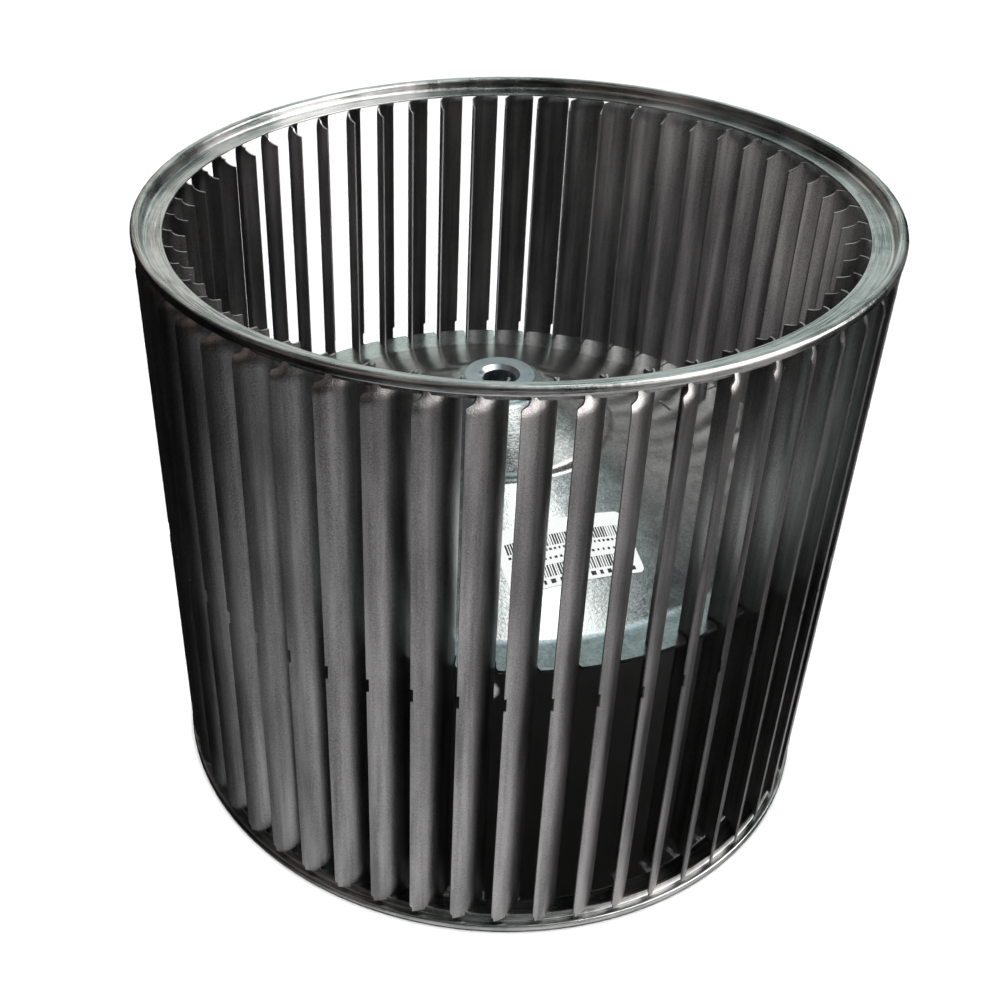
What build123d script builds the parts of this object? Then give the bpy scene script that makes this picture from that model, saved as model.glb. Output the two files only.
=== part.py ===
from build123d import *
import os
from math import asin, atan2, cos, degrees, hypot, radians, sin, sqrt

# Double-inlet blower wheel, a cage of forward-curved blades between two rolled end rings,
# carried on a dished centre disc and a bored steel hub with a radial set screw.
# Millimetres. The origin is the centre of the base, +Z is the spin axis.

# Cage
wheel_radius = 135.0
wheel_height = 240.0

# End rings: a flat annulus over the blade ends, a step, and a rolled bead around the rim
ring_hole_radius = 124.0
ring_sheet = 0.9
annulus_drop = 4.4
bead_width = 3.5
bead_height = 3.4
bead_rounding = 1.1

# Blades
blade_count = 54
blade_inner_radius = 116.0
blade_tip_radius = 134.4
blade_tip_lag = 12.0
blade_lean = 11.0
blade_sheet = 0.65
blade_end_drop = 7.7
blade_tip_angle = -120.5
neck_inner_radius = 122.4
neck_outer_radius = 131.2
shoulder_run = 2.6
relief_drop = 8.6
relief_step = 0.8
lock_bottom = 115.6
lock_height = 5.7
lock_depth = 1.3

# Centre disc: a flat slotted rim, a cone, a low step and a flat seat for the hub
disc_sheet = 1.3
rim_radius = 122.0
rim_top = 122.6
crease_radius = 107.6
step_outer = (45.4, 147.5)
step_inner = (43.6, 149.9)
seat_radius = 18.0
seat_top = 164.3
slot_back = 0.6
slot_front = 0.95
slot_flare_radius = 120.4
slot_flare = 0.8

# Hub
bore_radius = 6.36
hub_head_radius = 13.5
hub_neck_radius = 12.0
hub_barrel_radius = 16.0
hub_top = 167.5
hub_bottom = 131.5
top_chamfer = 1.65
bottom_chamfer = 0.85

# Set screw, square-headed, 5/16 inch
screw_angle = 137.0
screw_height = 141.0
screw_radius = 3.92
screw_clearance = 0.05
screw_tip = bore_radius + 0.5
screw_shank = 10.5
screw_point = 1.2
screw_head_width = 9.5
screw_head_height = 6.0
screw_crown = 1.0

# Label on the cone
label_radius = 74.8
label_angle = -68.6
label_length = 50.8
label_width = 25.1
label_corner = 2.4
label_sheet = 0.2
label_zone = (58.0, 95.0)

annulus_under = wheel_height - annulus_drop - ring_sheet
tip_across = sqrt(blade_tip_radius**2 - blade_tip_lag**2)
tip_turn = degrees(asin(blade_tip_lag / blade_tip_radius))
blade_inner_angle = blade_tip_angle + tip_turn
blade_pitch = 360.0 / blade_count


def profile(points):
    """A face in the plane of the axis, its points given as radius and height."""
    return Plane.XZ * make_face(Polyline(*points, close=True))


def turned(points):
    """A solid of revolution about the wheel's axis."""
    return revolve(profile(points), Axis.Z)


def end_ring():
    """The upper ring: annulus, step wall and rolled bead."""
    bead_inner = wheel_radius - bead_width
    annulus_top = wheel_height - annulus_drop
    annulus = turned([
        (ring_hole_radius, annulus_under),
        (bead_inner + ring_sheet, annulus_under),
        (bead_inner + ring_sheet, annulus_top),
        (ring_hole_radius, annulus_top),
    ])
    wall = turned([
        (bead_inner, annulus_under),
        (bead_inner + ring_sheet, annulus_under),
        (bead_inner + ring_sheet, wheel_height - bead_height / 2),
        (bead_inner, wheel_height - bead_height / 2),
    ])
    place = Plane.XZ * Pos(wheel_radius - bead_width / 2, wheel_height - bead_height / 2)
    bead = revolve(place * RectangleRounded(bead_width, bead_height, bead_rounding), Axis.Z)
    return annulus + wall + bead


def blade_section():
    """The blade seen from above, its inner edge on +X: one arc of sheet, tip behind."""
    chord = hypot(tip_across - blade_inner_radius, blade_tip_lag)
    chord_angle = degrees(atan2(-blade_tip_lag, tip_across - blade_inner_radius))
    half_sweep = blade_lean - chord_angle
    bend = chord / 2 / sin(radians(half_sweep))
    centre = (
        blade_inner_radius + bend * sin(radians(blade_lean)),
        -bend * cos(radians(blade_lean)),
    )
    end = 90.0 + blade_lean - 2 * half_sweep
    sweep = 2 * half_sweep + degrees(lock_depth * 1.2 / bend)
    outer = CenterArc(centre, bend + blade_sheet / 2, end, sweep)
    inner = CenterArc(centre, bend - blade_sheet / 2, end, sweep)
    return make_face([outer, inner, Line(outer @ 0, inner @ 0), Line(outer @ 1, inner @ 1)])


def blade_limits():
    """The blade's outline in radius and height: necks, tip reliefs, lock tab and notch."""
    far = wheel_radius + 2
    half = [
        (blade_inner_radius, wheel_height - blade_end_drop),
        (neck_inner_radius - shoulder_run, wheel_height - blade_end_drop),
        (neck_inner_radius, annulus_under),
        (neck_outer_radius, annulus_under),
        (neck_outer_radius + relief_step, wheel_height - relief_drop + relief_step),
        (far, wheel_height - relief_drop),
    ]
    lock_top = lock_bottom + lock_height
    tab = [
        (blade_inner_radius - lock_depth, lock_bottom),
        (blade_inner_radius - lock_depth, lock_top),
        (blade_inner_radius, lock_top),
    ]
    notch_radius = blade_tip_radius - lock_depth
    notch = [(far, lock_top), (notch_radius, lock_top), (notch_radius, lock_bottom), (far, lock_bottom)]
    mirrored = [(radius, wheel_height - height) for radius, height in reversed(half)]
    return turned([(blade_inner_radius, lock_bottom)] + tab + half + notch + mirrored)


def blade():
    """One blade with its inner edge on +X."""
    return extrude(blade_section(), wheel_height) & blade_limits()


def cone_height(radius):
    """Height of the disc's upper face on the cone outside the step."""
    run = (crease_radius - radius) / (crease_radius - step_outer[0])
    return rim_top + run * (step_outer[1] - rim_top)


def slot():
    """The opening in the disc's rim for a blade on +X, flared so that the tabs' corners are cut."""
    outline = [
        (blade_inner_radius, -slot_back),
        (slot_flare_radius, -slot_back),
        (rim_radius + 1, -slot_back - slot_flare),
        (rim_radius + 1, slot_front + slot_flare),
        (slot_flare_radius, slot_front),
        (blade_inner_radius, slot_front),
    ]
    sheet = make_face(Polyline(*outline, close=True))
    return extrude(Pos(0, 0, rim_top - 2 * disc_sheet) * sheet, 3 * disc_sheet)


def centre_disc():
    """Dished disc with one slot in its rim for each blade."""
    upper = [
        (hub_neck_radius, seat_top),
        (seat_radius, seat_top),
        step_inner,
        step_outer,
        (crease_radius, rim_top),
        (rim_radius, rim_top),
    ]
    lower = [(radius, height - disc_sheet) for radius, height in reversed(upper)]
    disc = turned(upper + lower)
    return disc - [Rot(0, 0, turn) * slot() for turn in blade_turns()]


def blade_turns():
    """The angle of every blade's inner edge, in degrees about the axis."""
    return [blade_inner_angle + blade_pitch * index for index in range(blade_count)]


def screw_place():
    """The set screw's axis, with local Z pointing outward from the bore."""
    return Rot(0, 0, screw_angle) * Pos(0, 0, screw_height) * Rot(0, 90, 0)


def hub():
    """Staked hub: head above the disc, neck through it, barrel below, and a cross hole."""
    body = turned([
        (bore_radius, hub_bottom + bottom_chamfer),
        (bore_radius + bottom_chamfer, hub_bottom),
        (hub_barrel_radius, hub_bottom),
        (hub_barrel_radius, seat_top - disc_sheet),
        (hub_neck_radius, seat_top - disc_sheet),
        (hub_neck_radius, seat_top),
        (hub_head_radius, seat_top),
        (hub_head_radius, hub_top),
        (bore_radius + top_chamfer, hub_top),
        (bore_radius, hub_top - top_chamfer),
    ])
    reach = hub_barrel_radius + 1
    hole = Cylinder(screw_radius + screw_clearance, reach, align=(Align.CENTER, Align.CENTER, Align.MIN))
    return body - screw_place() * hole


def set_screw():
    """Square-headed screw, its point just clear of the bore."""
    base = (Align.CENTER, Align.CENTER, Align.MIN)
    shank = Cylinder(screw_radius, screw_shank, align=base)
    shank = chamfer(shank.edges().group_by(Axis.Z)[0], screw_point)
    head = Pos(0, 0, screw_shank) * Box(screw_head_width, screw_head_width, screw_head_height, align=base)
    head = chamfer(head.edges().group_by(Axis.Z)[-1], screw_crown)
    return screw_place() * Pos(0, 0, screw_tip) * (shank + head)


def label():
    """A rounded rectangle of thin sheet lying on the cone."""
    shell = turned([
        (label_zone[0], cone_height(label_zone[0])),
        (label_zone[1], cone_height(label_zone[1])),
        (label_zone[1], cone_height(label_zone[1]) + label_sheet),
        (label_zone[0], cone_height(label_zone[0]) + label_sheet),
    ])
    outline = Pos(label_radius, 0) * RectangleRounded(label_width, label_length, label_corner)
    return shell & Rot(0, 0, label_angle) * extrude(outline, wheel_height)


def parts():
    """Every sub-part, by node name."""
    ring = end_ring()
    pattern = blade()
    solids = {
        "top_end_ring": ring,
        "bottom_end_ring": Pos(0, 0, wheel_height) * Rot(180, 0, 0) * ring,
        "centre_disc": centre_disc(),
        "hub": hub(),
        "set_screw": set_screw(),
        "label": label(),
    }
    for number, turn in enumerate(blade_turns(), start=1):
        solids[f"blade_{number:02d}"] = Rot(0, 0, turn) * pattern
    return solids


os.makedirs("parts", exist_ok=True)
for name, solid in parts().items():
    export_step(solid, f"parts/{name}.step")
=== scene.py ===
"""Double-inlet blower wheel: a lanced blade strip, two rolled end rings, a dished centre disc, a hub, its
set screw and a paper label, standing on a pale floor in soft studio light. Lengths are in metres."""

from math import asin, atan2, cos, hypot, pi, radians, sin, sqrt

import bpy
from mathutils import Matrix, Vector


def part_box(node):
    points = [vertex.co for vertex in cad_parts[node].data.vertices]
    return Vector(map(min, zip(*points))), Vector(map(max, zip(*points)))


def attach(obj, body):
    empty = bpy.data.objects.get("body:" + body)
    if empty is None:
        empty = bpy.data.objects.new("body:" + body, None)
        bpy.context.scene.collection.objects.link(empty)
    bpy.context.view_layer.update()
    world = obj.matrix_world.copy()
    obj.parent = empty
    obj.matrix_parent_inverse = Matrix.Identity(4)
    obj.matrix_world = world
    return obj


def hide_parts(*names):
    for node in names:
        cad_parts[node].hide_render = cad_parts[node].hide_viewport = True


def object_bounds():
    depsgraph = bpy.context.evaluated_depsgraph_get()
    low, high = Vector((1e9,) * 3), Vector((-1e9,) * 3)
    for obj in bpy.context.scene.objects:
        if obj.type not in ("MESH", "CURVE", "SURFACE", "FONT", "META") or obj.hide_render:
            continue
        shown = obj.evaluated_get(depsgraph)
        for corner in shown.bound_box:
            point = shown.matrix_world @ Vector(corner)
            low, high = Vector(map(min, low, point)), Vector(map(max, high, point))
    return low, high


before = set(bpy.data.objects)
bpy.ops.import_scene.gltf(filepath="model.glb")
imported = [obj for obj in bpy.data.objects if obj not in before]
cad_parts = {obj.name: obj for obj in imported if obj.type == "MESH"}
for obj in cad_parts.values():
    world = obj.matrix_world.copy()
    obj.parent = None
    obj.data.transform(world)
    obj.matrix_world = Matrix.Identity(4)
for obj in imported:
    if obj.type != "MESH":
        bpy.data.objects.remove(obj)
cad_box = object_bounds()

MM = 0.001

# The wheel's frame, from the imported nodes
WHEEL_HEIGHT = cad_box[1].z
WHEEL_RADIUS = cad_box[1].x
DISC_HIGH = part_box("centre_disc")[1]
RIM_RADIUS = DISC_HIGH.x

# Blades
BLADES = 54
BLADE_INNER = 116 * MM
BLADE_TIP = 134.4 * MM
TIP_LAG = 12 * MM
BLADE_LEAN = radians(11)
BLADE_SHEET = 0.62 * MM
TIP_ANGLE = radians(-120.5)
TOP_BAND_RADIUS = 130.6 * MM
BOTTOM_BAND_RADIUS = 131.6 * MM
BAND_DROPS = (5.0 * MM, 6.7 * MM)
LOCK_HEIGHTS = (115.6 * MM, 121.3 * MM)
LOCK_DEPTH = 0.9 * MM

# Rings
RING_HOLE = 124 * MM
RING_SHEET = 0.75 * MM
RING_TURNS = 432
ANNULUS_DROP = 4.4 * MM
BEAD_WIDTH = 3.5 * MM
BEAD_HEIGHT = 3.4 * MM

# Disc
DISC_SHEET = 1.3 * MM
DISC_HOLE = 12 * MM
SEAT_RADIUS = 18 * MM
SEAT_TOP = DISC_HIGH.z
STEP_INNER = (43.6 * MM, 149.9 * MM)
STEP_OUTER = (45.4 * MM, 147.5 * MM)
CREASE = (107.6 * MM, 122.6 * MM)
SLOT_END = 115.9 * MM
SLOT_BACK = 0.6 * MM
SLOT_FRONT = 0.95 * MM
FLARE_RADIUS = 120.4 * MM
FLARE = 0.8 * MM
TAB_ROUNDING = 0.25 * MM

# Pressed arcs on the cone: radius, first and last angle in degrees
PRESSED_ARCS = [(79.5 * MM, 24, 31), (79.5 * MM, 3, 10)]
PRESSED_HALF_WIDTH = 0.9 * MM
PRESSED_HEIGHT = 0.55 * MM
PRESSED_EDGE = 0.03 * MM
PRESSED_ROOT = 0.3 * MM

# Set screw, along its own axis from the point
SCREW_ANGLE = radians(137)
SCREW_CENTRE = 141 * MM
SCREW_START = 6.86 * MM
THREAD_RADIUS = 3.9 * MM
THREAD_DEPTH = 0.55 * MM
THREAD_PITCH = 1.41 * MM
SHANK_LENGTH = 10.5 * MM
HEAD_LENGTH = 6 * MM
HEAD_HALF = 4.75 * MM
CUP_DEPTH = 0.6 * MM
CUP_FLOOR = 0.3 * MM
CUP_LIP = 1.9 * MM
POINT_TAPER = 1.2 * MM
CROWN_FLAT = 2.4 * MM

# The screw head's edges: distance from the shank's end and how far in from the flats, in mm
HEAD_ROWS = [(0.0, 0.35), (0.25, 0.05), (0.5, 0.0), (4.9, 0.0), (5.4, 0.12), (5.8, 0.55), (5.97, 1.2)]

# Label
LABEL_RADIUS = 74.8 * MM
LABEL_ANGLE = radians(-68.6)
LABEL_LENGTH = 50.8 * MM
LABEL_WIDTH = 25.1 * MM
LABEL_CORNER = 2.4 * MM
LABEL_LIFT = 0.2 * MM
INK_LIFT = 0.03 * MM
GLUE_LIFT = 0.02 * MM

# Setting
FLOOR_RADIUS = 3.4
WALL_HEIGHT = 4.0

PITCH = 2 * pi / BLADES


# ---------------------------------------------------------------- small tools


def linear(code):
    """A colour given as sRGB hex, as linear RGBA."""
    channels = [int(code[i:i + 2], 16) / 255 for i in (1, 3, 5)]
    return [c / 12.92 if c <= 0.04045 else ((c + 0.055) / 1.055) ** 2.4 for c in channels] + [1.0]


def add(tree, kind, links=(), **settings):
    """Adds a node. Settings are attributes, or inputs by name with _ for a space.
    Links are pairs of an input here and the output that feeds it."""
    made = tree.nodes.new(kind)
    for name, value in settings.items():
        if hasattr(made, name):
            setattr(made, name, value)
        else:
            made.inputs[name.replace("_", " ")].default_value = value
    for target, source in links:
        tree.links.new(source, made.inputs[target])
    return made


def mesh_object(name, vertices, faces, sharp=40):
    """A smooth-shaded mesh object, sharp where faces meet at more than that many degrees."""
    mesh = bpy.data.meshes.new(name)
    mesh.from_pydata([tuple(v) for v in vertices], [], faces)
    mesh.validate()
    mesh.shade_smooth()
    mesh.set_sharp_from_angle(angle=radians(sharp))
    made = bpy.data.objects.new(name, mesh)
    bpy.context.scene.collection.objects.link(made)
    return made


def finish_piece(piece, body, nodes=()):
    """Puts a piece on its body and hides the nodes that it stands for."""
    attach(piece, body)
    if nodes:
        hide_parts(*nodes)


def rounded(points, radius, steps=5):
    """The open outline with each inner corner turned into a small curve."""
    out = [points[0]]
    for before, corner, after in zip(points, points[1:], points[2:]):
        b, c, a = Vector(before), Vector(corner), Vector(after)
        reach = min(radius, (b - c).length * 0.45, (a - c).length * 0.45)
        start = c + (b - c).normalized() * reach
        end = c + (a - c).normalized() * reach
        for i in range(steps + 1):
            t = i / steps
            out.append(tuple(start * (1 - t) ** 2 + c * 2 * t * (1 - t) + end * t * t))
    out.append(points[-1])
    return out


def smooth(t):
    """A gentle step from 0 to 1."""
    t = min(max(t, 0.0), 1.0)
    return t * t * (3 - 2 * t)


def repeated(name, pattern, copies, first_angle, material, sharp):
    """Geometry Nodes repeats the pattern about the wheel's axis; the result is a plain mesh."""
    tree = bpy.data.node_groups.new(name + "_repeat", "GeometryNodeTree")
    face = tree.interface
    face.new_socket("Pattern", in_out="INPUT", socket_type="NodeSocketGeometry")
    face.new_socket("Copies", in_out="INPUT", socket_type="NodeSocketInt")
    face.new_socket("First angle", in_out="INPUT", socket_type="NodeSocketFloat")
    face.new_socket("Weld distance", in_out="INPUT", socket_type="NodeSocketFloat")
    face.new_socket("Material", in_out="INPUT", socket_type="NodeSocketMaterial")
    face.new_socket("Geometry", in_out="OUTPUT", socket_type="NodeSocketGeometry")
    given = add(tree, "NodeGroupInput")
    step = add(tree, "ShaderNodeMath", [(1, given.outputs["Copies"])], operation="DIVIDE")
    step.inputs[0].default_value = 2 * pi
    index = add(tree, "GeometryNodeInputIndex")
    turn = add(tree, "ShaderNodeMath", [(0, index.outputs[0]), (1, step.outputs[0])], operation="MULTIPLY")
    angle = add(tree, "ShaderNodeMath", [
        (0, turn.outputs[0]), (1, given.outputs["First angle"])], operation="ADD")
    euler = add(tree, "ShaderNodeCombineXYZ", [("Z", angle.outputs[0])])
    line = add(tree, "GeometryNodeMeshLine", [("Count", given.outputs["Copies"])])
    line.inputs["Offset"].default_value = (0, 0, 0)
    copies_made = add(tree, "GeometryNodeInstanceOnPoints", [
        ("Points", line.outputs[0]), ("Instance", given.outputs["Pattern"]), ("Rotation", euler.outputs[0])])
    real = add(tree, "GeometryNodeRealizeInstances", [("Geometry", copies_made.outputs[0])])
    weld = add(tree, "GeometryNodeMergeByDistance", [
        ("Geometry", real.outputs[0]), ("Distance", given.outputs["Weld distance"])])
    finish = add(tree, "GeometryNodeSetMaterial", [
        ("Geometry", weld.outputs[0]), ("Material", given.outputs["Material"])])
    add(tree, "NodeGroupOutput", [(0, finish.outputs[0])])
    sizes = {"Copies": copies, "First angle": first_angle, "Weld distance": 1e-6, "Material": material}
    return made_plain(name, pattern, tree, sizes, sharp)


def made_plain(name, carrier, tree, sizes, sharp=40):
    """Runs a Geometry Nodes tree on the carrier's mesh and keeps the result as a plain mesh object."""
    modifier = carrier.modifiers.new("build", "NODES")
    modifier.node_group = tree
    for item in tree.interface.items_tree:
        if item.item_type == "SOCKET" and item.in_out == "INPUT" and item.name in sizes:
            modifier[item.identifier] = sizes[item.name]
    graph = bpy.context.evaluated_depsgraph_get()
    mesh = bpy.data.meshes.new_from_object(carrier.evaluated_get(graph))
    mesh.name = name
    mesh.shade_smooth()
    mesh.set_sharp_from_angle(angle=radians(sharp))
    made = bpy.data.objects.new(name, mesh)
    bpy.context.scene.collection.objects.link(made)
    bpy.data.objects.remove(carrier)
    return made


# ---------------------------------------------------------------- materials


def new_material(name):
    """An empty node material with its shader and output."""
    made = bpy.data.materials.new(name)
    made.use_nodes = True
    tree = made.node_tree
    tree.nodes.clear()
    shader = add(tree, "ShaderNodeBsdfPrincipled")
    add(tree, "ShaderNodeOutputMaterial", [("Surface", shader.outputs[0])])
    return made, tree, shader


def polar_coordinates(tree, around, across):
    """Object coordinates unrolled about the wheel's axis: angle, radius and height, then scaled."""
    place = add(tree, "ShaderNodeTexCoord")
    split = add(tree, "ShaderNodeSeparateXYZ", [(0, place.outputs["Object"])])
    angle = add(tree, "ShaderNodeMath", [
        (0, split.outputs["Y"]), (1, split.outputs["X"])], operation="ARCTAN2")
    flat = add(tree, "ShaderNodeCombineXYZ", [("X", split.outputs["X"]), ("Y", split.outputs["Y"])])
    radius = add(tree, "ShaderNodeVectorMath", [(0, flat.outputs[0])], operation="LENGTH")
    unrolled = add(tree, "ShaderNodeCombineXYZ", [
        ("X", angle.outputs[0]), ("Y", radius.outputs["Value"]), ("Z", split.outputs["Z"])])
    scaled = add(tree, "ShaderNodeVectorMath", [(0, unrolled.outputs[0])], operation="MULTIPLY")
    scaled.inputs[1].default_value = (around, across, across)
    return scaled.outputs[0]


def object_coordinates(tree, scale):
    """Object coordinates multiplied by a scale for each axis."""
    place = add(tree, "ShaderNodeTexCoord")
    scaled = add(tree, "ShaderNodeVectorMath", [(0, place.outputs["Object"])], operation="MULTIPLY")
    scaled.inputs[1].default_value = scale
    return scaled.outputs[0]


def ramp(tree, source, low, high, low_value, high_value):
    """Maps a factor between two limits onto two values."""
    made = add(tree, "ShaderNodeMapRange", [("Value", source)])
    made.inputs["From Min"].default_value = low
    made.inputs["From Max"].default_value = high
    made.inputs["To Min"].default_value = low_value
    made.inputs["To Max"].default_value = high_value
    return made.outputs[0]


def colour_mix(tree, factor, first, second):
    """Two hex colours mixed by a factor."""
    made = add(tree, "ShaderNodeMix", [(0, factor)], data_type="RGBA")
    made.inputs[6].default_value = linear(first)
    made.inputs[7].default_value = linear(second)
    return made.outputs[2]


def noise(tree, vector, detail=3.0, roughness=0.55):
    """Noise of scale 1 on a vector that is already scaled."""
    made = add(tree, "ShaderNodeTexNoise", [("Vector", vector)],
               Scale=1.0, Detail=detail, Roughness=roughness)
    return made.outputs[0]


def galvanised_blade_sheet():
    """Hot-dip galvanised strip, skin-passed: a satin zinc face with a fine pebble grain, faint marks
    along the rolling direction and darker oxide in patches."""
    made, tree, shader = new_material("galvanised_blade_sheet")
    grain = noise(tree, object_coordinates(tree, (2300, 2300, 2300)), 2.0)
    streaks = noise(tree, object_coordinates(tree, (260, 260, 14)), 3.0)
    patches = noise(tree, object_coordinates(tree, (22, 22, 12)), 4.0)
    tone = add(tree, "ShaderNodeMath", [(0, grain), (1, patches)], operation="MULTIPLY_ADD")
    tree.links.new(ramp(tree, streaks, 0.3, 0.7, 0.0, 0.25), tone.inputs[2])
    colour = colour_mix(tree, ramp(tree, tone.outputs[0], 0.22, 0.52, 0, 1), "#7c7b7c", "#c0bfbf")
    tree.links.new(colour, shader.inputs["Base Color"])
    tree.links.new(ramp(tree, patches, 0.3, 0.7, 0.3, 0.4), shader.inputs["Roughness"])
    bump = add(tree, "ShaderNodeBump", [("Height", grain)], Strength=1.0, Distance=0.00013)
    tree.links.new(bump.outputs[0], shader.inputs["Normal"])
    shader.inputs["Metallic"].default_value = 1.0
    return made


def galvanised_rolled_ring():
    """The same zinc sheet burnished by the rolling tool: brighter, with fine lines round the ring, flats
    that break up the highlight and a few dull smears."""
    made, tree, shader = new_material("galvanised_rolled_ring")
    lines = noise(tree, polar_coordinates(tree, 9, 2600), 3.0)
    flats = noise(tree, polar_coordinates(tree, 26, 160), 3.0)
    smears = noise(tree, object_coordinates(tree, (35, 35, 35)), 4.0)
    streaks = add(tree, "ShaderNodeMath", [(0, lines), (1, smears)], operation="ADD")
    colour = colour_mix(tree, ramp(tree, streaks.outputs[0], 0.8, 1.15, 0, 1), "#6f7775", "#cbcccb")
    tree.links.new(colour, shader.inputs["Base Color"])
    tree.links.new(ramp(tree, smears, 0.3, 0.7, 0.2, 0.38), shader.inputs["Roughness"])
    height = add(tree, "ShaderNodeMath", [(0, lines), (2, flats)], operation="MULTIPLY_ADD")
    height.inputs[1].default_value = 0.3
    bump = add(tree, "ShaderNodeBump", [("Height", height.outputs[0])], Strength=0.6, Distance=0.0004)
    tree.links.new(bump.outputs[0], shader.inputs["Normal"])
    shader.inputs["Metallic"].default_value = 1.0
    return made


def galvanised_spangled_disc():
    """Galvanised sheet with a small spangle: crystals a few millimetres across that tilt the light, fine
    speckle and drawing marks round the dish."""
    made, tree, shader = new_material("galvanised_spangled_disc")
    crystals = object_coordinates(tree, (260, 260, 260))
    cells = add(tree, "ShaderNodeTexVoronoi", [("Vector", crystals)], Scale=1.0)
    speckle = noise(tree, object_coordinates(tree, (900, 900, 900)), 2.0)
    drawing = noise(tree, polar_coordinates(tree, 3, 700), 2.0)
    cell_tone = add(tree, "ShaderNodeSeparateColor", [(0, cells.outputs["Color"])])
    tone = add(tree, "ShaderNodeMath", [(0, cell_tone.outputs[0]), (2, speckle)], operation="MULTIPLY_ADD")
    tone.inputs[1].default_value = 0.25
    colour = colour_mix(tree, ramp(tree, tone.outputs[0], 0.35, 0.85, 0, 1), "#989e9d", "#bfc4c3")
    tree.links.new(colour, shader.inputs["Base Color"])
    tree.links.new(ramp(tree, tone.outputs[0], 0.3, 0.9, 0.17, 0.27), shader.inputs["Roughness"])
    height = add(tree, "ShaderNodeMath", [(0, drawing), (2, speckle)], operation="MULTIPLY_ADD")
    height.inputs[1].default_value = 0.6
    bump = add(tree, "ShaderNodeBump", [("Height", height.outputs[0])], Strength=0.3, Distance=0.00014)
    tree.links.new(bump.outputs[0], shader.inputs["Normal"])
    shader.inputs["Metallic"].default_value = 1.0
    return made


def turned_zinc_steel():
    """Free-cutting steel, turned and zinc plated: tight tool rings and a soft cool shine."""
    made, tree, shader = new_material("turned_zinc_steel")
    rings = noise(tree, polar_coordinates(tree, 0.4, 3500), 2.0)
    stain = noise(tree, object_coordinates(tree, (120, 120, 120)), 3.0)
    colour = colour_mix(tree, ramp(tree, stain, 0.35, 0.7, 0, 1), "#b4bfc6", "#d6dde0")
    tree.links.new(colour, shader.inputs["Base Color"])
    tree.links.new(ramp(tree, stain, 0.3, 0.7, 0.24, 0.38), shader.inputs["Roughness"])
    bump = add(tree, "ShaderNodeBump", [("Height", rings)], Strength=0.35, Distance=0.00008)
    tree.links.new(bump.outputs[0], shader.inputs["Normal"])
    shader.inputs["Metallic"].default_value = 1.0
    return made


def black_oxide_steel():
    """Alloy steel screw, black oxide over a cut thread: near black, oily, rubbed bright on high spots."""
    made, tree, shader = new_material("black_oxide_steel")
    rub = noise(tree, object_coordinates(tree, (700, 700, 700)), 4.0)
    colour = colour_mix(tree, ramp(tree, rub, 0.5, 0.75, 0, 1), "#2b2b2d", "#6a6a6c")
    tree.links.new(colour, shader.inputs["Base Color"])
    tree.links.new(ramp(tree, rub, 0.3, 0.7, 0.32, 0.5), shader.inputs["Roughness"])
    bump = add(tree, "ShaderNodeBump", [("Height", rub)], Strength=0.3, Distance=0.00006)
    tree.links.new(bump.outputs[0], shader.inputs["Normal"])
    shader.inputs["Metallic"].default_value = 1.0
    return made


def coated_label_paper():
    """Thermal label paper: white, faintly fibrous, with a dull coat."""
    made, tree, shader = new_material("coated_label_paper")
    fibre = noise(tree, object_coordinates(tree, (1500, 1500, 1500)), 4.0)
    colour = colour_mix(tree, fibre, "#dfe3e2", "#f1f3f2")
    tree.links.new(colour, shader.inputs["Base Color"])
    bump = add(tree, "ShaderNodeBump", [("Height", fibre)], Strength=0.2, Distance=0.00004)
    tree.links.new(bump.outputs[0], shader.inputs["Normal"])
    shader.inputs["Roughness"].default_value = 0.5
    return made


def printed_black_ink():
    """Thermal print: dark grey with thin spots where the print head skipped."""
    made, tree, shader = new_material("printed_black_ink")
    spots = noise(tree, object_coordinates(tree, (2500, 2500, 2500)), 3.0)
    colour = colour_mix(tree, ramp(tree, spots, 0.45, 0.75, 0, 1), "#1c1c20", "#55565a")
    tree.links.new(colour, shader.inputs["Base Color"])
    shader.inputs["Roughness"].default_value = 0.6
    return made


# ---------------------------------------------------------------- blade strip


class BladeArc:
    """The blade seen from above, inner edge on +X: one arc of sheet with its tip behind."""

    def __init__(self):
        """Finds the arc through the inner edge and the tip that starts at the lean."""
        tip_x = sqrt(BLADE_TIP ** 2 - TIP_LAG ** 2)
        chord = hypot(tip_x - BLADE_INNER, TIP_LAG)
        half = BLADE_LEAN - atan2(-TIP_LAG, tip_x - BLADE_INNER)
        self.bend = chord / 2 / sin(half)
        self.centre = (BLADE_INNER + self.bend * sin(BLADE_LEAN), -self.bend * cos(BLADE_LEAN))
        self.length = 2 * half * self.bend
        self.inner_angle = TIP_ANGLE + asin(TIP_LAG / BLADE_TIP)

    def point(self, share, offset):
        """A point at that share of the arc from the inner edge, moved off the mid-sheet by offset."""
        turn = pi / 2 + BLADE_LEAN - share * self.length / self.bend
        reach = self.bend + offset
        return self.centre[0] + reach * cos(turn), self.centre[1] + reach * sin(turn)


ARC = BladeArc()

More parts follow.
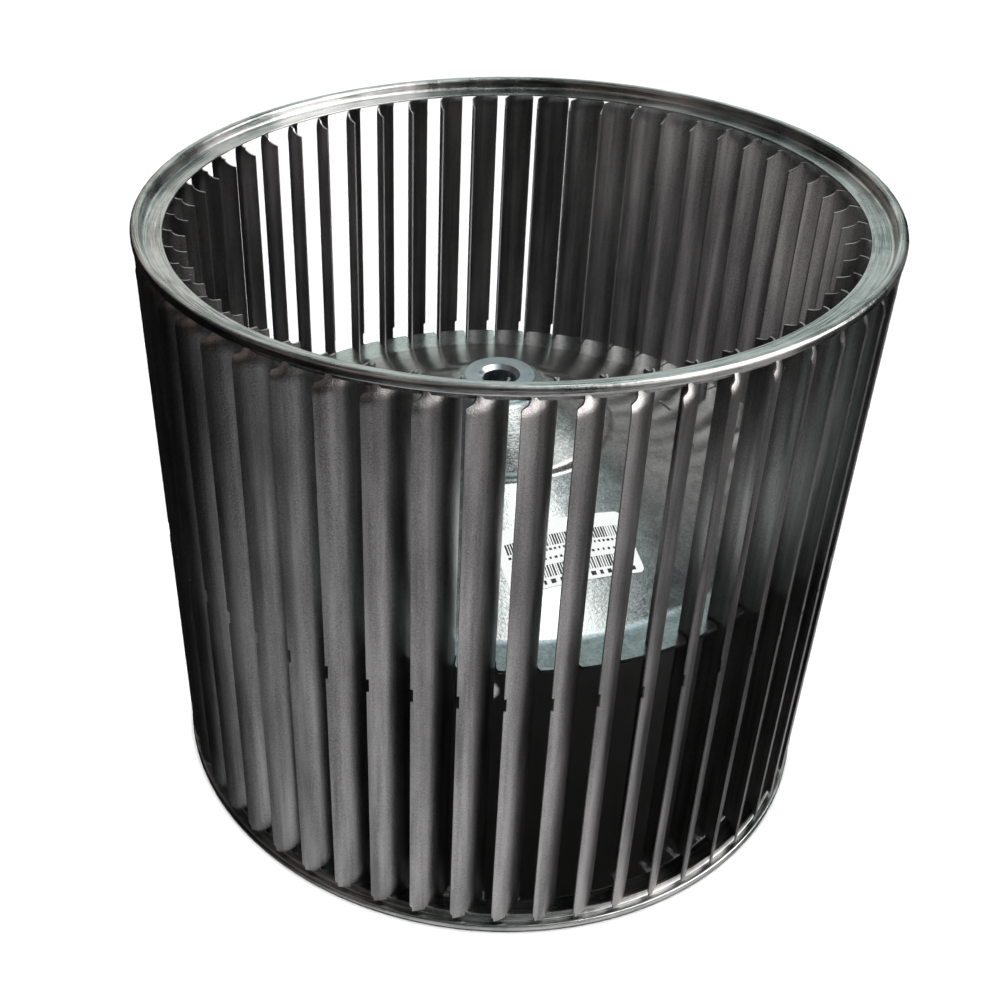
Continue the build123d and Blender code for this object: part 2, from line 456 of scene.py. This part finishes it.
# The blade's end, from its neck to full width: distance from the wheel's end, where the sheet starts and
# stops as shares of the arc, and how far it has curled inward to meet the edge band.
BLADE_END_ROWS = [
    (5.2 * MM, 0.20, 0.885, 1.0),
    (5.6 * MM, 0.195, 0.886, 0.9),
    (6.1 * MM, 0.185, 0.888, 0.77),
    (6.6 * MM, 0.165, 0.892, 0.64),
    (7.1 * MM, 0.12, 0.90, 0.52),
    (7.4 * MM, 0.08, 0.91, 0.45),
    (7.55 * MM, 0.045, 0.92, 0.42),
    (7.65 * MM, 0.015, 0.927, 0.4),
    (7.8 * MM, 0.0, 0.94, 0.36),
    (8.1 * MM, 0.0, 0.975, 0.3),
    (8.5 * MM, 0.0, 0.997, 0.22),
    (9.2 * MM, 0.0, 1.0, 0.11),
    (10.0 * MM, 0.0, 1.0, 0.03),
    (11.0 * MM, 0.0, 1.0, -0.02),
    (12.4 * MM, 0.0, 1.0, -0.02),
    (14.5 * MM, 0.0, 1.0, 0.0),
]
SHOULDER_CURL = 2.2 * MM
SHOULDER_START = 0.22
SHOULDER_RUN = 0.25
BOTTOM_CURL = 0.05
BOTTOM_RELIEF = 0.35
LOW_ROWS = (40 * MM, 78 * MM)
HIGH_ROWS = (162 * MM, 200 * MM)
LOCK_STEP = 0.08 * MM
COLUMNS = 17


def blade_rows():
    """Height, first share, last share and curl of every row, from the bottom end to the top."""
    notch = LOCK_DEPTH / ARC.length
    low, high = LOCK_HEIGHTS
    bottom = []
    for drop, first, last, curl in BLADE_END_ROWS:
        bottom.append((drop, first, 1 - BOTTOM_RELIEF * (1 - last), BOTTOM_CURL * curl))
    top = [(WHEEL_HEIGHT - row[0],) + row[1:] for row in reversed(BLADE_END_ROWS)]
    below = [(z, 0.0, 1.0, 0.0) for z in (*LOW_ROWS, low - LOCK_STEP)]
    above = [(z, 0.0, 1.0, 0.0) for z in (high + LOCK_STEP, *HIGH_ROWS)]
    lock = [(z, -notch, 1 - notch, 0.0) for z in LOCK_HEIGHTS]
    return bottom + below + lock + above + top


def curled(point, share, curl):
    """Moves a point of the blade's end inward, onto the edge band or further."""
    radius = hypot(*point)
    shoulder = SHOULDER_CURL * smooth((share - SHOULDER_START) / SHOULDER_RUN)
    full = max(radius - TOP_BAND_RADIUS, shoulder)
    scale = 1 - curl * full / radius
    return point[0] * scale, point[1] * scale


def grid_shell(outer, inner):
    """Vertices and faces of a closed shell between two equal grids of points."""
    rows, columns = len(outer), len(outer[0])
    vertices = [p for row in outer for p in row] + [p for row in inner for p in row]
    half = rows * columns
    faces = []
    for j in range(rows - 1):
        for i in range(columns - 1):
            a, b = j * columns + i, j * columns + i + 1
            c, d = b + columns, a + columns
            faces.append((a, d, c, b))
            faces.append((half + a, half + b, half + c, half + d))
    rim = [j * columns for j in range(rows - 1, 0, -1)]
    rim += list(range(columns - 1))
    rim += [j * columns + columns - 1 for j in range(rows - 1)]
    rim += [(rows - 1) * columns + i for i in range(columns - 1, 0, -1)]
    for a, b in zip(rim, rim[1:] + rim[:1]):
        faces.append((a, b, half + b, half + a))
    return vertices, faces


def blade_pattern():
    """One blade with its share of both edge bands."""
    outer, inner = [], []
    for z, first, last, curl in blade_rows():
        shares = [first + (last - first) * i / (COLUMNS - 1) for i in range(COLUMNS)]
        for grid, side in ((outer, 0.5), (inner, -0.5)):
            line = []
            for share in shares:
                flat_x, flat_y = ARC.point(share, 0)
                away_x, away_y = ARC.point(share, side * BLADE_SHEET)
                x, y = curled((flat_x, flat_y), share, curl)
                line.append((x + away_x - flat_x, y + away_y - flat_y, z))
            grid.append(line)
    vertices, faces = grid_shell(outer, inner)
    near, far = BAND_DROPS
    bands = ((BOTTOM_BAND_RADIUS, near, far), (TOP_BAND_RADIUS, WHEEL_HEIGHT - far, WHEEL_HEIGHT - near))
    for radius, low, high in bands:
        more, band_faces = band_share(radius, low, high)
        faces += [tuple(i + len(vertices) for i in face) for face in band_faces]
        vertices += more
    return vertices, faces


def band_share(radius, low, high):
    """The part of an edge band that belongs to one blade, open at both ends so that the shares join."""
    columns = 9
    start = -PITCH * 0.75
    corners = [
        (radius - BLADE_SHEET / 2, low), (radius + BLADE_SHEET / 2, low),
        (radius + BLADE_SHEET / 2, high), (radius - BLADE_SHEET / 2, high),
    ]
    vertices, faces = [], []
    for i in range(columns):
        turn = start + PITCH * i / (columns - 1)
        vertices += [(r * cos(turn), r * sin(turn), z) for r, z in corners]
    for i in range(columns - 1):
        for k in range(4):
            a, b = 4 * i + k, 4 * i + (k + 1) % 4
            faces.append((a, a + 4, b + 4, b))
    return vertices, faces


def blade_strip(material):
    """All the blades and both edge bands: one strip, as it is lanced and rolled."""
    pattern = mesh_object("blade_pattern", *blade_pattern())
    strip = repeated("blade_strip", pattern, BLADES, ARC.inner_angle, material, 35)
    finish_piece(strip, "wheel", [f"blade_{n:02d}" for n in range(1, BLADES + 1)])


# ---------------------------------------------------------------- rings


def revolved(profile, turns, wobble=None):
    """A closed outline, given as radius and height, turned about the axis."""
    vertices, faces = [], []
    count = len(profile)
    for t in range(turns):
        angle = 2 * pi * t / turns
        dr, dz = wobble(angle) if wobble else (0.0, 0.0)
        vertices += [((r + dr) * cos(angle), (r + dr) * sin(angle), z + dz) for r, z in profile]
    for t in range(turns):
        here, there = t * count, (t + 1) % turns * count
        for k in range(count):
            a, b = k, (k + 1) % count
            faces.append((here + a, there + a, there + b, here + b))
    return vertices, faces


def ring_profile():
    """Outline of the upper ring, anticlockwise in radius and height: annulus, step wall and rolled bead."""
    bead_inner = WHEEL_RADIUS - BEAD_WIDTH
    top = WHEEL_HEIGHT
    annulus = top - ANNULUS_DROP
    under = annulus - RING_SHEET
    bead_under = top - BEAD_HEIGHT
    corners = [
        (RING_HOLE + 1 * MM, under),
        (bead_inner, under),
        (bead_inner + RING_SHEET * 0.55, under + RING_SHEET * 0.5),
        (bead_inner + RING_SHEET * 0.55, bead_under + 0.2 * MM),
        (WHEEL_RADIUS - 1.7 * MM, bead_under),
        (WHEEL_RADIUS, bead_under),
        (WHEEL_RADIUS, top),
        (bead_inner, top),
        (bead_inner - 0.15 * MM, annulus),
        (RING_HOLE, annulus),
        (RING_HOLE, under),
        (RING_HOLE + 1 * MM, under),
    ]
    return rounded(corners, 1.5 * MM, 6)[:-1]


def end_ring(name, flipped, material):
    """One end ring, its bead slightly uneven from the rolling tool."""
    profile = ring_profile()
    if flipped:
        profile = [(r, WHEEL_HEIGHT - z) for r, z in reversed(profile)]
    inward = 0.06 * MM

    def wobble(angle):
        """Three uneven waves round the ring, always inward."""
        ripple = 0.5 + 0.2 * sin(7 * angle + 1) + 0.15 * sin(17 * angle) + 0.15 * sin(41 * angle + 2)
        return -inward * ripple, 0.0

    ring = mesh_object(name, *revolved(profile, RING_TURNS, wobble), sharp=60)
    ring.data.materials.append(material)
    finish_piece(ring, "wheel", [name.replace("rolled_", "")])


# ---------------------------------------------------------------- disc


def cone_height(radius):
    """Height of the disc's upper face on the cone outside the step."""
    return CREASE[1] + (CREASE[0] - radius) / (CREASE[0] - STEP_OUTER[0]) * (STEP_OUTER[1] - CREASE[1])


def disc_profile():
    """The disc's upper face from the hub's neck to the end of the slots, as radius and height."""
    corners = [
        (DISC_HOLE, SEAT_TOP),
        (SEAT_RADIUS, SEAT_TOP),
        STEP_INNER,
        STEP_OUTER,
        (80 * MM, cone_height(80 * MM)),
        CREASE,
        (SLOT_END, CREASE[1]),
    ]
    return rounded(corners, 2.2 * MM, 5)


def tab_angles(radius, count):
    """Even angles across a rim tab at a radius, from one slot to the next."""
    flare = max(0.0, (radius - FLARE_RADIUS) / (RIM_RADIUS - FLARE_RADIUS)) * FLARE
    first, last = (SLOT_FRONT + flare) / radius, PITCH - (SLOT_BACK + flare) / radius
    return [first + (last - first) * i / (count - 1) for i in range(count)]


def disc_pattern():
    """The disc's share for one tab: its wedge of the dish and the tab between two slots."""
    inner_rows = disc_profile()
    tab_rows = [(r * MM, CREASE[1]) for r in (117.2, 118.4, 119.6, 120.4, 121.2, 121.8)]
    tab_rows += [(RIM_RADIUS, CREASE[1] - TAB_ROUNDING)]
    columns = 7
    turns = [0.0] + tab_angles(SLOT_END, columns - 2) + [PITCH]
    upper, lower = [], []
    for r, z in inner_rows:
        upper.append([(r * cos(t), r * sin(t), z) for t in turns])
        lower.append([(r * cos(t), r * sin(t), z - DISC_SHEET) for t in turns])
    for r, z in tab_rows:
        spread = tab_angles(r, columns - 2)
        places = [spread[0]] + spread + [spread[-1]]
        upper.append([(r * cos(t), r * sin(t), z) for t in places])
        lower.append([(r * cos(t), r * sin(t), CREASE[1] - DISC_SHEET) for t in places])
    vertices = [p for row in upper for p in row] + [p for row in lower for p in row]
    half = len(vertices) // 2
    faces = []
    rows, whole = len(upper), len(inner_rows)
    for j in range(rows - 1):
        first_column, last_column = (0, columns - 1) if j < whole - 1 else (1, columns - 2)
        for i in range(first_column, last_column):
            a, b = j * columns + i, j * columns + i + 1
            c, d = b + columns, a + columns
            faces.append((a, d, c, b))
            faces.append((half + a, half + b, half + c, half + d))
        if j >= whole - 1:
            a, d = j * columns + 1, (j + 1) * columns + 1
            faces.append((a, half + a, half + d, d))
            a, d = j * columns + columns - 2, (j + 1) * columns + columns - 2
            faces.append((a, d, half + d, half + a))
    edge = (whole - 1) * columns
    for i in (0, columns - 2):
        faces.append((edge + i, half + edge + i, half + edge + i + 1, edge + i + 1))
    rim = (rows - 1) * columns
    for i in range(1, columns - 2):
        faces.append((rim + i, half + rim + i, half + rim + i + 1, rim + i + 1))
    for i in range(columns - 1):
        faces.append((i, i + 1, half + i + 1, half + i))
    return vertices, faces


def centre_disc(material):
    """The whole disc from one wedge for each blade."""
    pattern = mesh_object("disc_pattern", *disc_pattern())
    disc = repeated("dished_disc", pattern, BLADES, ARC.inner_angle, material, 40)
    finish_piece(disc, "wheel", ["centre_disc"])


def pressed_arcs(material):
    """Low ribs pressed up out of the cone."""
    steps_across, steps_along = 8, 24
    vertices, faces = [], []
    for radius, first, last in PRESSED_ARCS:
        outer, inner = [], []
        for j in range(steps_across + 1):
            across = -1 + 2 * j / steps_across
            r = radius + across * PRESSED_HALF_WIDTH
            crown = PRESSED_HEIGHT * sqrt(max(0.0, 1 - across ** 2))
            outer_row, inner_row = [], []
            for i in range(steps_along + 1):
                turn = radians(first + (last - first) * i / steps_along)
                taper = smooth(4 * (0.5 - abs(i / steps_along - 0.5)))
                place = (r * cos(turn), r * sin(turn))
                outer_row.append((*place, cone_height(r) + PRESSED_EDGE + crown * taper))
                inner_row.append((*place, cone_height(r) - PRESSED_ROOT))
            outer.append(outer_row)
            inner.append(inner_row)
        more, rib_faces = grid_shell(outer, inner)
        faces += [tuple(len(vertices) + i for i in face) for face in rib_faces]
        vertices += more
    ribs = mesh_object("pressed_arcs", vertices, faces, 50)
    ribs.data.materials.append(material)
    finish_piece(ribs, "wheel")


# ---------------------------------------------------------------- set screw


def thread_radius(along, turn):
    """Radius of the threaded shank at a distance from the point and a turn about the screw's axis."""
    place = (along / THREAD_PITCH - turn / (2 * pi)) % 1.0
    crest = THREAD_RADIUS - THREAD_DEPTH * smooth(abs(2 * place - 1) * 1.3 - 0.15)
    return min(crest, THREAD_RADIUS - POINT_TAPER + along)


def head_radius(turn, inset):
    """Radius of the square head, its corners rounded."""
    flat = (HEAD_HALF - inset) / max(abs(cos(turn)), abs(sin(turn)))
    return min(flat, (HEAD_HALF - inset) * 1.3)


def set_screw(material):
    """Square-headed cup-point screw with a cut thread."""
    sides, shank_rows = 64, 104
    turns = [2 * pi * k / sides for k in range(sides)]
    rows = [(CUP_DEPTH, [CUP_FLOOR] * sides), (0.02 * MM, [CUP_LIP] * sides)]
    for k in range(1, shank_rows):
        along = SHANK_LENGTH * k / shank_rows
        rows.append((along, [thread_radius(along, turn) for turn in turns]))
    rows.append((SHANK_LENGTH, [THREAD_RADIUS - THREAD_DEPTH] * sides))
    for along, inset in HEAD_ROWS:
        rows.append((SHANK_LENGTH + along * MM, [head_radius(turn, inset * MM) for turn in turns]))
    rows.append((SHANK_LENGTH + HEAD_LENGTH, [CROWN_FLAT] * sides))
    outward = Vector((cos(SCREW_ANGLE), sin(SCREW_ANGLE), 0))
    sideways, up = Vector((-outward.y, outward.x, 0)), Vector((0, 0, 1))
    vertices = []
    for along, radii in rows:
        centre = outward * (SCREW_START + along) + up * SCREW_CENTRE
        vertices += [centre + sideways * (r * cos(t)) + up * (r * sin(t)) for r, t in zip(radii, turns)]
    faces = [tuple(reversed(range(sides))), tuple(range(len(vertices) - sides, len(vertices)))]
    for j in range(len(rows) - 1):
        for k in range(sides):
            a, b = j * sides + k, j * sides + (k + 1) % sides
            faces.append((a, b, b + sides, a + sides))
    screw = mesh_object("square_head_screw", vertices, faces, 35)
    screw.data.materials.append(material)
    finish_piece(screw, "set_screw", ["set_screw"])


# ---------------------------------------------------------------- label


def on_label(along, across, lift):
    """A point of the label on the cone, from its place on the flat label."""
    x, y = LABEL_RADIUS + across, along
    turn_x, turn_y = cos(LABEL_ANGLE), sin(LABEL_ANGLE)
    flat = Vector((x * turn_x - y * turn_y, x * turn_y + y * turn_x, 0))
    return flat.x, flat.y, cone_height(flat.length) + lift


def label_paper(material):
    """The paper: a rounded rectangle that follows the cone."""
    half_length, half_width = LABEL_LENGTH / 2, LABEL_WIDTH / 2
    steps, steps_along = 7, 24
    corner = [LABEL_CORNER * (1 - cos(pi / 2 * i / steps)) for i in range(steps + 1)]
    edge_rows = [-half_width + c for c in corner]
    rows = edge_rows + [-edge for edge in reversed(edge_rows)]
    rows[steps + 1:steps + 1] = [half_width * k / 4 for k in (-2, 0, 2)]
    outer, inner = [], []
    for across in rows:
        near = max(0.0, abs(across) - (half_width - LABEL_CORNER))
        cut = LABEL_CORNER - sqrt(max(0.0, LABEL_CORNER ** 2 - near ** 2))
        reach = half_length - cut
        line = [-reach + 2 * reach * i / steps_along for i in range(steps_along + 1)]
        outer.append([on_label(along, across, LABEL_LIFT) for along in line])
        inner.append([on_label(along, across, GLUE_LIFT) for along in line])
    vertices, faces = grid_shell(outer, inner)
    paper = mesh_object("label_paper", vertices, faces, 50)
    paper.data.materials.append(material)
    finish_piece(paper, "wheel", ["label"])


def bar_rows():
    """A Geometry Nodes tree that lays a row of bars of random width on a flat label."""
    tree = bpy.data.node_groups.new("label_bars", "GeometryNodeTree")
    face = tree.interface
    face.new_socket("Row", in_out="INPUT", socket_type="NodeSocketGeometry")
    for name in ("Row length", "Bar height", "Narrowest", "Widest", "Across"):
        face.new_socket(name, in_out="INPUT", socket_type="NodeSocketFloat")
    face.new_socket("Bars", in_out="INPUT", socket_type="NodeSocketInt")
    face.new_socket("Seed", in_out="INPUT", socket_type="NodeSocketInt")
    face.new_socket("Ink", in_out="INPUT", socket_type="NodeSocketMaterial")
    face.new_socket("Geometry", in_out="OUTPUT", socket_type="NodeSocketGeometry")
    given = add(tree, "NodeGroupInput").outputs
    half = add(tree, "ShaderNodeMath", [(0, given["Row length"])], operation="MULTIPLY")
    half.inputs[1].default_value = 0.5
    left = add(tree, "ShaderNodeMath", [(0, half.outputs[0])], operation="MULTIPLY")
    left.inputs[1].default_value = -1.0
    start = add(tree, "ShaderNodeCombineXYZ", [("X", left.outputs[0]), ("Y", given["Across"])])
    end = add(tree, "ShaderNodeCombineXYZ", [("X", half.outputs[0]), ("Y", given["Across"])])
    line = add(tree, "GeometryNodeMeshLine", [
        ("Count", given["Bars"]),
        ("Start Location", start.outputs[0]),
        ("Offset", end.outputs[0]),
    ], mode="END_POINTS")
    width = add(tree, "FunctionNodeRandomValue", [("Seed", given["Seed"])], data_type="FLOAT")
    tree.links.new(given["Narrowest"], width.inputs[2])
    tree.links.new(given["Widest"], width.inputs[3])
    size = add(tree, "ShaderNodeCombineXYZ", [("X", width.outputs[1]), ("Y", given["Bar height"])])
    size.inputs["Z"].default_value = 1.0
    bar = add(tree, "GeometryNodeMeshGrid")
    bar.inputs["Size X"].default_value = 1.0
    bar.inputs["Size Y"].default_value = 1.0
    bar.inputs["Vertices X"].default_value = 2
    bar.inputs["Vertices Y"].default_value = 3
    placed = add(tree, "GeometryNodeInstanceOnPoints", [
        ("Points", line.outputs[0]), ("Instance", bar.outputs[0]), ("Scale", size.outputs[0])])
    real = add(tree, "GeometryNodeRealizeInstances", [("Geometry", placed.outputs[0])])
    inked = add(tree, "GeometryNodeSetMaterial", [("Geometry", real.outputs[0]), ("Material", given["Ink"])])
    add(tree, "NodeGroupOutput", [(0, inked.outputs[0])])
    return tree


# Rows of print, from the edge nearest the hub: place across the label, bar height, how many, how wide
PRINT_MARGIN = 4 * MM
PRINT_ROWS = [
    (-4.8 * MM, 4.2 * MM, 44, (0.15 * MM, 0.75 * MM)),
    (-1.4 * MM, 0.9 * MM, 26, (0.5 * MM, 1.3 * MM)),
    (1.9 * MM, 0.9 * MM, 22, (0.5 * MM, 1.3 * MM)),
    (6.5 * MM, 4.5 * MM, 44, (0.15 * MM, 0.75 * MM)),
    (10.5 * MM, 1.6 * MM, 15, (0.8 * MM, 1.9 * MM)),
]


def label_print(material):
    """Generic rows of bars in place of any printing, pressed onto the paper."""
    tree = bar_rows()
    vertices, faces = [], []
    for seed, (across, height, bars, widths) in enumerate(PRINT_ROWS, start=3):
        sizes = {
            "Row length": LABEL_LENGTH - 2 * PRINT_MARGIN, "Bar height": height, "Narrowest": widths[0],
            "Widest": widths[1], "Across": across, "Bars": bars, "Seed": seed, "Ink": material,
        }
        flat = made_plain(f"print_row_{seed}", mesh_object("row", [(0, 0, 0)], []), tree, sizes)
        base = len(vertices)
        vertices += [on_label(v.co.x, v.co.y, LABEL_LIFT + INK_LIFT) for v in flat.data.vertices]
        faces += [tuple(base + i for i in reversed(p.vertices)) for p in flat.data.polygons]
        bpy.data.objects.remove(flat)
    ink = mesh_object("label_print", vertices, faces)
    ink.data.materials.append(material)
    finish_piece(ink, "wheel")


# ---------------------------------------------------------------- setting


def camera():
    """The camera, above and in front of the wheel, its centre line passing the wheel on one side."""
    distance = 4.1015 * WHEEL_RADIUS
    climb, roll, yaw, pitch = 0.5905, 0.0423, -0.1165, -0.0499
    eye = Vector((0, -distance * cos(climb), distance * sin(climb) + WHEEL_HEIGHT / 2))
    ahead, right = Vector((0, cos(climb), -sin(climb))), Vector((1, 0, 0))
    up = right.cross(ahead)
    ahead, right = ahead * cos(yaw) + right * sin(yaw), right * cos(yaw) - ahead * sin(yaw)
    ahead, up = ahead * cos(pitch) + up * sin(pitch), up * cos(pitch) - ahead * sin(pitch)
    right, up = right * cos(roll) + up * sin(roll), up * cos(roll) - right * sin(roll)
    data = bpy.data.cameras.new("camera")
    data.lens = 48.13
    data.sensor_width = 36
    data.shift_x = 0.1647
    data.shift_y = 0.0352
    made = bpy.data.objects.new("camera", data)
    made.matrix_world = Matrix((
        (right.x, up.x, -ahead.x, eye.x),
        (right.y, up.y, -ahead.y, eye.y),
        (right.z, up.z, -ahead.z, eye.z),
        (0, 0, 0, 1),
    ))
    bpy.context.scene.collection.objects.link(made)
    bpy.context.scene.camera = made


# Where the soft light comes from: bearing from +X and height in degrees, how far from there it is full and
# where it ends, how strong it is, its colour
LIGHT_PATCHES = [
    (50, 75, 5, 10, 4.2, "#fffdfb"),
    (40, 66, 5, 18, 0.3, "#f4f6f6"),
    (72, 60, 6, 15, 1.3, "#d9eef5"),
    (-71, 57, 6, 16, 0.8, "#d6f2ea"),
    (40, 42, 8, 26, 0.25, "#dcf3ea"),
    (84, 30, 8, 24, 0.55, "#d6f0ec"),
    (90, 10, 10, 28, 0.8, "#f1f3ee"),
    (118, 26, 6, 24, 0.6, "#fff1e6"),
    (-15, 28, 18, 44, 4.4, "#fffaf8"),
    (-130, 30, 10, 34, 0.3, "#ffe6d8"),
    (-40, 0, 8, 26, 0.75, "#fff8f2"),
    (-50, -72, 27, 48, 0.88, "#fbfafb"),
    (20, -60, 8, 26, 0.15, "#f6fbff"),
    (0, 90, 10, 75, 0.1, "#f4f6ff"),
]
SURROUND = 0.008


def surround():
    """Soft light patches all round the wheel, by direction alone, for the metal to mirror."""
    world = bpy.data.worlds.new("surround")
    world.use_nodes = True
    tree = world.node_tree
    tree.nodes.clear()
    place = add(tree, "ShaderNodeTexCoord")
    total = add(tree, "ShaderNodeCombineXYZ", X=SURROUND, Y=SURROUND, Z=SURROUND).outputs[0]
    for bearing, height, full, end, strength, code in LIGHT_PATCHES:
        a, e = radians(bearing), radians(height)
        facing = add(tree, "ShaderNodeVectorMath", [
            (0, place.outputs["Generated"])], operation="DOT_PRODUCT")
        facing.inputs[1].default_value = (cos(a) * cos(e), sin(a) * cos(e), sin(e))
        patch = add(tree, "ShaderNodeMapRange", [
            ("Value", facing.outputs["Value"])], interpolation_type="SMOOTHSTEP")
        patch.inputs["From Min"].default_value = cos(radians(end))
        patch.inputs["From Max"].default_value = cos(radians(full))
        tinted = add(tree, "ShaderNodeVectorMath", [
            (0, patch.outputs[0]), (2, total)], operation="MULTIPLY_ADD")
        tinted.inputs[1].default_value = [strength * c for c in linear(code)[:3]]
        total = tinted.outputs[0]
    background = add(tree, "ShaderNodeBackground", [("Color", total)], Strength=1.0)
    add(tree, "ShaderNodeOutputWorld", [("Surface", background.outputs[0])])
    world.cycles_visibility.diffuse = False
    bpy.context.scene.world = world


def dull_material(name, code):
    """A material that scatters light and mirrors none of it."""
    made, _, shader = new_material(name)
    shader.inputs["Base Color"].default_value = linear(code)
    shader.inputs["Specular IOR Level"].default_value = 0.0
    return made, shader


def backdrop():
    """A pale floor with a pale wall far round it, and a grey disc of painted shade on the floor under the
    wheel; the metal mirrors only the soft light and that painted-shade disc.
    """
    sides = 64
    circle = [(cos(2 * pi * k / sides), sin(2 * pi * k / sides)) for k in range(sides)]
    panels = [(k, k + sides, (k + 1) % sides + sides, (k + 1) % sides) for k in range(sides)]
    painted_shade_radius = 0.99 * WHEEL_RADIUS
    rounds = [(r * x, r * y, 0) for r in (painted_shade_radius, FLOOR_RADIUS) for x, y in circle]
    floor = mesh_object("floor", rounds, panels)
    under = mesh_object("floor_under_wheel_painted_shade", rounds[:sides], [tuple(range(sides))])
    # Painted shade: the disc under the wheel gets grey #8c8c8c instead of the pale floor colour, because the
    # wheel shades the floor there.
    for piece, name, code in ((floor, "pale_floor", "#f0f0f0"), (under, "painted_shade_floor_grey", "#8c8c8c")):
        made, shader = dull_material(name, code)
        shader.inputs["Roughness"].default_value = 0.95
        piece.data.materials.append(made)
    rims = [(FLOOR_RADIUS * x, FLOOR_RADIUS * y, z) for z in (0.0, WALL_HEIGHT) for x, y in circle]
    wall = mesh_object("wall", rims, panels)
    made, shader = dull_material("pale_wall", "#000000")
    shader.inputs["Emission Color"].default_value = linear("#ffffff")
    shader.inputs["Emission Strength"].default_value = 1.0
    wall.data.materials.append(made)
    wall.visible_diffuse = False
    for piece in (floor, wall):
        piece.visible_glossy = False
        piece.visible_shadow = False


def overhead():
    """A light straight overhead, with no mirror image: the wheel's shadow falls under the wheel."""
    data = bpy.data.lights.new("overhead", "SUN")
    data.energy = 3.9
    data.angle = radians(1)
    light = bpy.data.objects.new("overhead", data)
    light.location = (0, 0, 2)
    light.visible_glossy = False
    bpy.context.scene.collection.objects.link(light)


def studio():
    """Pale floor and soft light from all round."""
    backdrop()
    surround()
    overhead()
    bpy.context.scene.view_settings.view_transform = "Standard"


def main():
    """Builds every piece, then the setting."""
    blade_finish = galvanised_blade_sheet()
    ring_finish = galvanised_rolled_ring()
    blade_strip(blade_finish)
    end_ring("rolled_top_end_ring", False, ring_finish)
    end_ring("rolled_bottom_end_ring", True, ring_finish)
    disc_finish = galvanised_spangled_disc()
    centre_disc(disc_finish)
    pressed_arcs(disc_finish)
    set_screw(black_oxide_steel())
    label_paper(coated_label_paper())
    label_print(printed_black_ink())
    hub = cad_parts["hub"]
    hub.data.materials.clear()
    hub.data.materials.append(turned_zinc_steel())
    camera()
    studio()


main()
